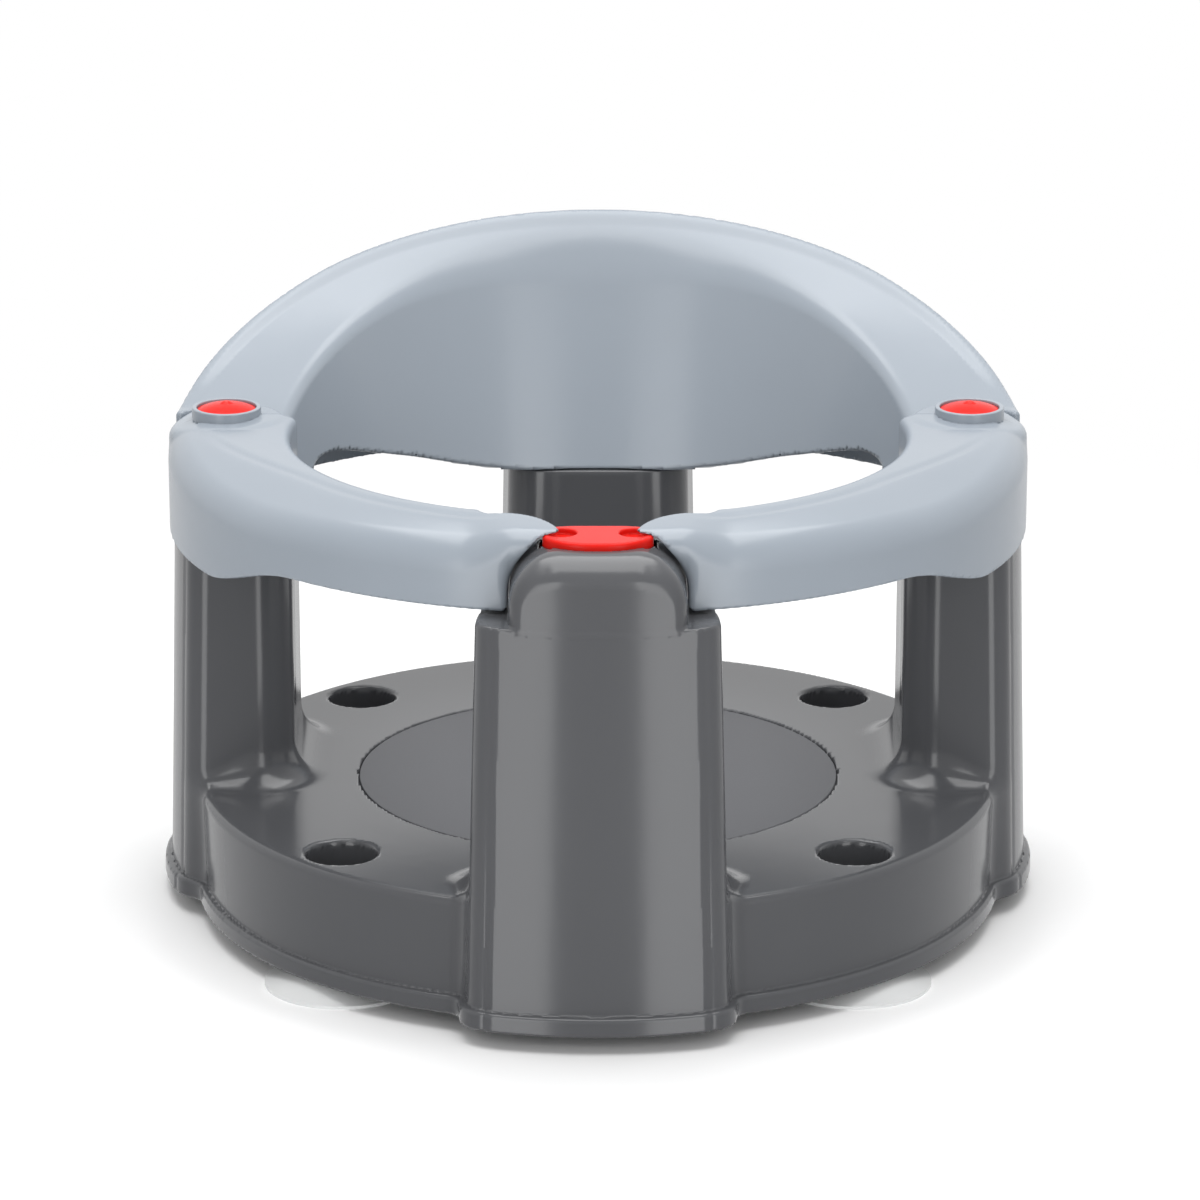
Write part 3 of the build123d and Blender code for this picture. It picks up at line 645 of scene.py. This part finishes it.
def matt_rubber(name, colour):
    """Matt rubber with a fine even grain."""
    material, finish = new_finish(name)
    cloud = finish.noise(9.0, 3.0)
    tone = finish.tint(cloud, shade(colour, 0.95), shade(colour, 1.05))
    grain = finish.noise(2600.0, 1.0)
    bump = finish.node("ShaderNodeBump", {}, {"Strength": 0.12, "Distance": 0.0004, "Height": grain})
    rough = grain * 0.12 + 0.5
    surface = finish.node("ShaderNodeBsdfPrincipled", {}, {
        "Base Color": tone, "Roughness": rough, "Normal": bump, "IOR": 1.45})
    finish.node("ShaderNodeOutputMaterial", {}, {"Surface": surface})
    return material


def milky_rubber(name, colour):
    """Translucent milky rubber of the suction cups."""
    material, finish = new_finish(name)
    cloud = finish.noise(60.0, 3.0)
    tone = finish.tint(cloud, shade(colour, 0.96), shade(colour, 1.02))
    rough = cloud * 0.1 + 0.2
    surface = finish.node("ShaderNodeBsdfPrincipled", {}, {
        "Base Color": tone, "Roughness": rough, "IOR": 1.42, "Alpha": 0.8})
    finish.node("ShaderNodeOutputMaterial", {}, {"Surface": surface})
    return material


def turned_steel(name):
    """Stainless steel with fine scratches."""
    material, finish = new_finish(name)
    lines = finish.noise(700.0, 3.0, (1.0, 1.0, 12.0))
    tone = finish.tint(lines, (0.50, 0.50, 0.50), (0.66, 0.66, 0.65))
    rough = lines * 0.15 + 0.22
    bump = finish.node("ShaderNodeBump", {}, {"Strength": 0.08, "Distance": 0.0003, "Height": lines})
    surface = finish.node("ShaderNodeBsdfPrincipled", {}, {
        "Base Color": tone, "Roughness": rough, "Normal": bump, "Metallic": 1.0})
    finish.node("ShaderNodeOutputMaterial", {}, {"Surface": surface})
    return material


def dress(node, material):
    """Gives a node of the frame its finish."""
    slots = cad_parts[node].data.materials
    slots.clear()
    slots.append(material)


def coat(piece, material, body, slot, *nodes):
    """Gives a new piece its finish, its body and the nodes that it stands for."""
    piece.data.materials.append(material)
    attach(piece, body)
    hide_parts(*nodes)


def other_side(piece, name):
    """The same piece mirrored to the right."""
    mesh = piece.data
    points = np.empty(len(mesh.vertices) * 3, np.float32)
    mesh.vertices.foreach_get("co", points)
    points = points.reshape(-1, 3) * (-1.0, 1.0, 1.0)
    quads = np.empty(len(mesh.loops), np.int32)
    mesh.loops.foreach_get("vertex_index", quads)
    quads = quads.reshape(-1, 4)[:, ::-1]
    corner = np.empty(len(mesh.loops) * 3, np.float32)
    mesh.corner_normals.foreach_get("vector", corner)
    normals = np.zeros_like(points)
    loops = np.empty(len(mesh.loops), np.int32)
    mesh.loops.foreach_get("vertex_index", loops)
    normals[loops] = corner.reshape(-1, 3) * (-1.0, 1.0, 1.0)
    return mesh_object(name, points, quads, normals)


# Steps, one for each piece or group of like pieces


class BATHSEAT_OT_make_base(bpy.types.Operator):
    """Makes the dark base moulding with its deck, skirt and posts"""

    bl_idname = "bathseat.make_base"
    bl_label = "Make base"

    def execute(self, context):
        shell = context.scene.bath_seat_shells
        looks = context.scene.bath_seat_finishes
        piece = skin("base_moulding", lambda x, y, z: base_field(-np.abs(x), y, z, shell),
                     (-181, -181, RIM_BOTTOM), (181, 181, BOSS_TOP), shell.cell, mirrored=True)
        coat(piece, moulded_plastic("base_plastic_gloss", looks.base_colour, looks.gloss), "base",
             "base_plastic", "base_tub")
        return {"FINISHED"}


class BATHSEAT_OT_make_pad(bpy.types.Operator):
    """Gives the non-slip pad in the deck its matt rubber"""

    bl_idname = "bathseat.make_pad"
    bl_label = "Make pad"

    def execute(self, context):
        dress("seat_pad", matt_rubber("pad_rubber_matt", context.scene.bath_seat_finishes.pad_colour))
        return {"FINISHED"}


class BATHSEAT_OT_make_cups(bpy.types.Operator):
    """Gives the four suction cups their milky rubber"""

    bl_idname = "bathseat.make_cups"
    bl_label = "Make suction cups"

    def execute(self, context):
        rubber = milky_rubber("cup_rubber_milky", context.scene.bath_seat_finishes.cup_colour)
        for corner in ("front_left", "front_right", "rear_left", "rear_right"):
            dress("suction_cup_" + corner, rubber)
        return {"FINISHED"}


class BATHSEAT_OT_make_backrest(bpy.types.Operator):
    """Makes the curved backrest with its rolled rim"""

    bl_idname = "bathseat.make_backrest"
    bl_label = "Make backrest"

    def execute(self, context):
        shell = context.scene.bath_seat_shells
        looks = context.scene.bath_seat_finishes
        piece = skin("backrest_moulding", lambda x, y, z: backrest_shape(-np.abs(x), y, z, shell),
                     (-175, 20, 145), (175, 181, 251), shell.cell, mirrored=True)
        coat(piece, moulded_plastic("ring_plastic_gloss", looks.ring_colour, looks.gloss + 0.05), "base",
             "ring_plastic", "backrest_shell")
        return {"FINISHED"}


class BATHSEAT_OT_make_arms(bpy.types.Operator):
    """Makes the two swinging arms of the ring"""

    bl_idname = "bathseat.make_arms"
    bl_label = "Make arms"

    def execute(self, context):
        shell = context.scene.bath_seat_shells
        plastic = bpy.data.materials["ring_plastic_gloss"]
        foot = ARM_TOP - 4.5
        corners = [(COLLAR_INNER, foot), (COLLAR_OUTER, foot)]
        corners += [(COLLAR_OUTER, COLLAR_TOP), (COLLAR_INNER, COLLAR_TOP)]
        outline = rounded_outline(corners, 0.6)
        collar = turned_ring((-PIVOT_X, RING_Y), outline)
        left = skin("arm_moulding_left", lambda x, y, z: arm_field(x, y, z, shell),
                    (-175, -154, 153), (-10, 47, 203), shell.cell, extra=[collar])
        right = other_side(left, "arm_moulding_right")
        coat(left, plastic, "arm_body_left", "ring_plastic", "arm_left")
        coat(right, plastic, "arm_body_right", "ring_plastic", "arm_right")
        dress("arm_cover_left", plastic)
        dress("arm_cover_right", plastic)
        return {"FINISHED"}


class BATHSEAT_OT_make_buttons(bpy.types.Operator):
    """Makes the latch plate and gives the two release buttons its red plastic"""

    bl_idname = "bathseat.make_buttons"
    bl_label = "Make buttons"

    def execute(self, context):
        looks = context.scene.bath_seat_finishes
        red = moulded_plastic("red_plastic_gloss", looks.button_colour, looks.gloss + 0.08, 0.015, 0.02, 0.12)
        for side in ("left", "right"):
            dress("release_button_" + side, red)
        plate = skin("latch_plate", latch_field, (-21, -158, STEM_BOTTOM), (21, -131, 197), 0.7)
        coat(plate, red, "latch", "red_plastic", "latch_button")
        return {"FINISHED"}


class BATHSEAT_OT_make_hardware(bpy.types.Operator):
    """Gives the bushes, guide, washers, screws and springs their finishes"""

    bl_idname = "bathseat.make_hardware"
    bl_label = "Make hardware"

    def execute(self, context):
        steel = turned_steel("steel_turned")
        natural = moulded_plastic("inner_plastic_natural", (0.62, 0.61, 0.58), 0.38)
        for node in ("backrest_screws", "guide_screws", "latch_retainer", "latch_spring"):
            dress(node, steel)
        dress("latch_guide", natural)
        for side in ("left", "right"):
            dress("pivot_bush_" + side, natural)
            for kind in ("pivot_washer_", "pivot_screw_", "button_spring_"):
                dress(kind + side, steel)
        return {"FINISHED"}


def softbox(name, place, target, width, height, power, strength=1.0):
    """A rectangular studio light that faces a target."""
    lamp = bpy.data.lights.new(name, "AREA")
    lamp.shape = "RECTANGLE"
    lamp.size = width
    lamp.size_y = height
    lamp.energy = power
    lamp.specular_factor = strength
    light = bpy.data.objects.new(name, lamp)
    light.location = place
    aim = np.array(target) - np.array(place)
    flat = math.hypot(aim[0], aim[1])
    light.rotation_euler = (math.pi / 2 + math.atan2(aim[2], flat), 0.0, math.atan2(-aim[0], aim[1]))
    bpy.context.scene.collection.objects.link(light)
    return light


class BATHSEAT_OT_make_stage(bpy.types.Operator):
    """Sets up the floor, the camera and the soft studio light"""

    bl_idname = "bathseat.make_stage"
    bl_label = "Make stage"

    def execute(self, context):
        studio = context.scene.bath_seat_studio
        camera = bpy.data.cameras.new("camera")
        camera.sensor_width = 36.0
        camera.lens = studio.focal_length
        camera.shift_x = 2.0 / 1200.0
        camera.clip_end = 50.0
        eye = bpy.data.objects.new("camera", camera)
        eye.location = (0.0, -studio.camera_back, studio.camera_height)
        eye.rotation_euler = (math.pi / 2 - studio.camera_tilt, 0.0, 0.0)
        context.scene.collection.objects.link(eye)
        context.scene.camera = eye
        self.make_floor()
        self.make_sky(context, studio.ambient)
        softbox("top_box", (0.0, 0.05, 1.5), (0.0, 0.0, 0.1), 1.4, 1.5, 23.0)
        softbox("left_strip", (-0.78, -1.64, 0.1), (0.0, -0.1, 0.1), 0.72, 2.6, 15.0)
        softbox("right_strip", (0.78, -1.64, 0.1), (0.0, -0.1, 0.1), 0.72, 2.6, 15.0)
        context.scene.view_settings.view_transform = "Standard"
        return {"FINISHED"}

    def make_floor(self):
        points = np.array([(-20, -20, 0), (20, -20, 0), (20, 20, 0), (-20, 20, 0)], float)
        floor = mesh_object("floor", points, np.array([[0, 1, 2, 3]]))
        material, finish = new_finish("floor_paper")
        cloud = finish.noise(3.0, 2.0)
        tone = finish.tint(cloud, (0.90, 0.90, 0.90), (0.92, 0.92, 0.92))
        paper = finish.node("ShaderNodeBsdfDiffuse", {}, {"Color": tone})
        place = finish.node("ShaderNodeTexCoord", output="Object")
        reach = finish.node("ShaderNodeVectorMath", {"operation": "LENGTH"}, {0: place}, output="Value")
        fade = finish.node("ShaderNodeMapRange", {"interpolation_type": "SMOOTHSTEP"},
                           {"Value": reach, "From Min": 0.33, "From Max": 0.75})
        away = finish.node("ShaderNodeBsdfTransparent")
        both = finish.node("ShaderNodeMixShader", {}, {0: fade, 1: paper, 2: away})
        finish.node("ShaderNodeOutputMaterial", {}, {"Surface": both})
        floor.data.materials.append(material)
        floor.visible_glossy = False

    def make_sky(self, context, ambient):
        sky = bpy.data.worlds.new("studio_sky")
        sky.use_nodes = True
        sky.node_tree.nodes.clear()
        finish = Finish(sky.node_tree)
        seen = finish.node("ShaderNodeLightPath", output="Is Camera Ray")
        facing = finish.node("ShaderNodeTexCoord", output="Generated")
        split = finish.node("ShaderNodeSeparateXYZ", {}, {"Vector": facing}, output="Y")
        behind = finish.node("ShaderNodeMapRange", {"interpolation_type": "SMOOTHSTEP"},
                             {"Value": split, "From Min": -0.3, "From Max": 0.7, "To Min": 0.42})
        level = finish.node("ShaderNodeSeparateXYZ", {}, {"Vector": facing}, output="Z")
        above = finish.node("ShaderNodeMapRange", {"interpolation_type": "SMOOTHSTEP"},
                            {"Value": level, "From Min": -0.1, "From Max": 0.1, "To Min": 0.8})
        light = behind * above * ambient
        even = finish.node("ShaderNodeBackground", {}, {"Color": (1, 1, 1, 1), "Strength": light})
        white = finish.node("ShaderNodeBackground", {}, {"Color": (1, 1, 1, 1), "Strength": 1.0})
        both = finish.node("ShaderNodeMixShader", {}, {0: seen, 1: even, 2: white})
        finish.node("ShaderNodeOutputWorld", {}, {"Surface": both})
        context.scene.world = sky


STEPS = (
    BATHSEAT_OT_make_stage,
    BATHSEAT_OT_make_base,
    BATHSEAT_OT_make_pad,
    BATHSEAT_OT_make_cups,
    BATHSEAT_OT_make_backrest,
    BATHSEAT_OT_make_arms,
    BATHSEAT_OT_make_buttons,
    BATHSEAT_OT_make_hardware,
)


class BATHSEAT_PT_sidebar(bpy.types.Panel):
    """Lists the sizes, the finishes and the steps of the bath seat"""

    bl_idname = "BATHSEAT_PT_sidebar"
    bl_label = "Bath Seat"
    bl_space_type = "VIEW_3D"
    bl_region_type = "UI"
    bl_category = "Bath Seat"

    def draw(self, context):
        scene = context.scene
        for group in (scene.bath_seat_shells, scene.bath_seat_finishes, scene.bath_seat_studio):
            column = self.layout.column(align=True)
            for name in group.bl_rna.properties.keys():
                if name not in ("rna_type", "name"):
                    column.prop(group, name)
        for step in STEPS:
            self.layout.operator(step.bl_idname)


GROUPS = (BathSeatShellSizes, BathSeatFinishes, BathSeatStudio)


def register():
    for cls in GROUPS + STEPS + (BATHSEAT_PT_sidebar,):
        bpy.utils.register_class(cls)
    scene = bpy.types.Scene
    scene.bath_seat_shells = bpy.props.PointerProperty(type=BathSeatShellSizes)
    scene.bath_seat_finishes = bpy.props.PointerProperty(type=BathSeatFinishes)
    scene.bath_seat_studio = bpy.props.PointerProperty(type=BathSeatStudio)


def unregister():
    scene = bpy.types.Scene
    del scene.bath_seat_shells, scene.bath_seat_finishes, scene.bath_seat_studio
    for cls in reversed(GROUPS + STEPS + (BATHSEAT_PT_sidebar,)):
        bpy.utils.unregister_class(cls)


def main():
    register()
    bpy.ops.bathseat.make_stage()
    bpy.ops.bathseat.make_base()
    bpy.ops.bathseat.make_pad()
    bpy.ops.bathseat.make_cups()
    bpy.ops.bathseat.make_backrest()
    bpy.ops.bathseat.make_arms()
    bpy.ops.bathseat.make_buttons()
    bpy.ops.bathseat.make_hardware()


if __name__ == "__main__":
    main()
